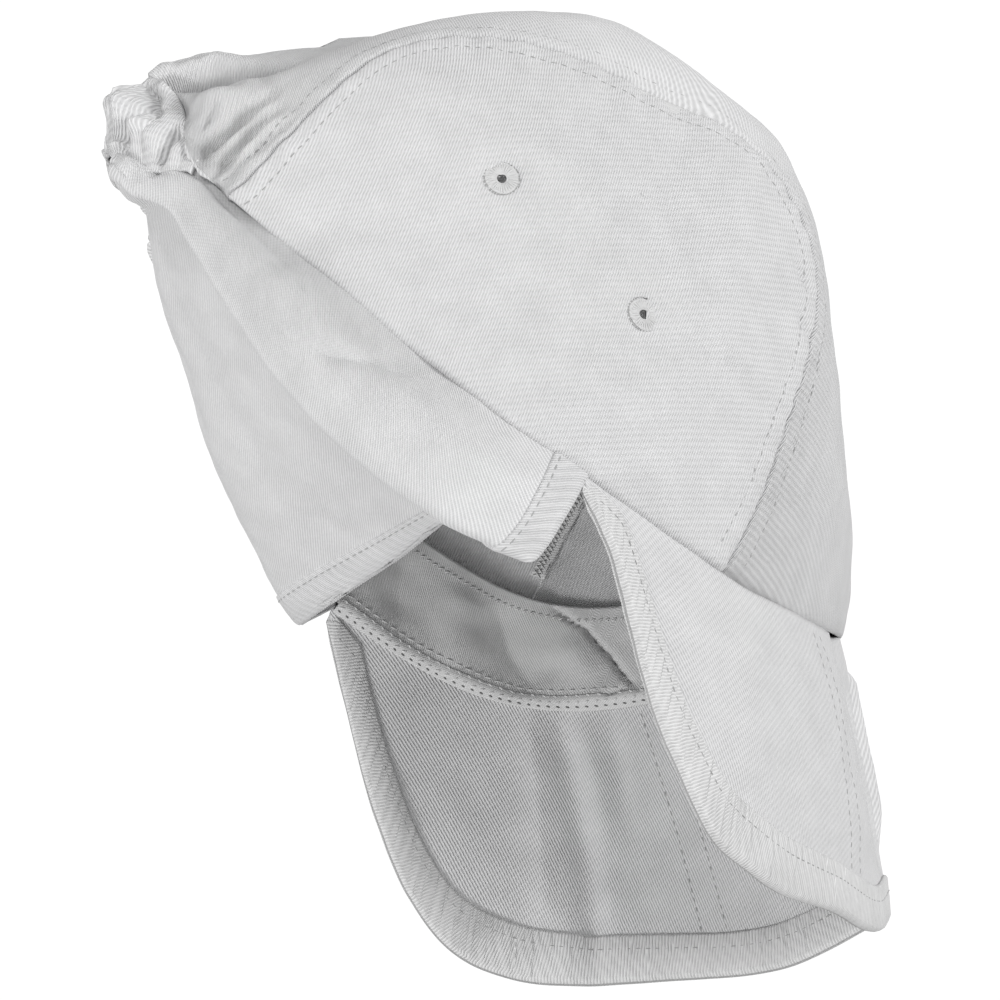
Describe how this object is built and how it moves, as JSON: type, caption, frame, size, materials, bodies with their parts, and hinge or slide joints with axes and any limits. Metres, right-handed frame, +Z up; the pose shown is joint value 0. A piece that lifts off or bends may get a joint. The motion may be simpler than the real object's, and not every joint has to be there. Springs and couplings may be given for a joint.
{
  "type": "legionnaire cap with a folding peak and a tucked neck flap",
  "caption": "White cotton legionnaire cap with a panelled crown, folding bound peak, gathered elastic back and tucked neck flap.",
  "frame": {"origin": "middle of the head opening, level with the ears", "axes": "+Z up through the crown, -Y towards the peak, -X towards the wearer's right"},
  "size_m": [0.164, 0.2806, 0.1995],
  "materials": {
    "twill": "matte white cotton twill",
    "binding": "ribbed bias binding of the same twill",
    "sweatband": "matte cotton band",
    "thread": "satin sewing thread"
  },
  "bodies": {
    "root": {"crown_side_right": "twill", "crown_side_left": "twill", "crown_centre_panel": "twill", "elastic_casing": "twill", "neck_flap": "twill", "peak": "twill", "peak_binding": "binding", "sweatband": "sweatband", "eyelet_right_front": "thread", "eyelet_right_rear": "thread", "eyelet_left_front": "thread", "eyelet_left_rear": "thread"}
  },
  "joints": []
}
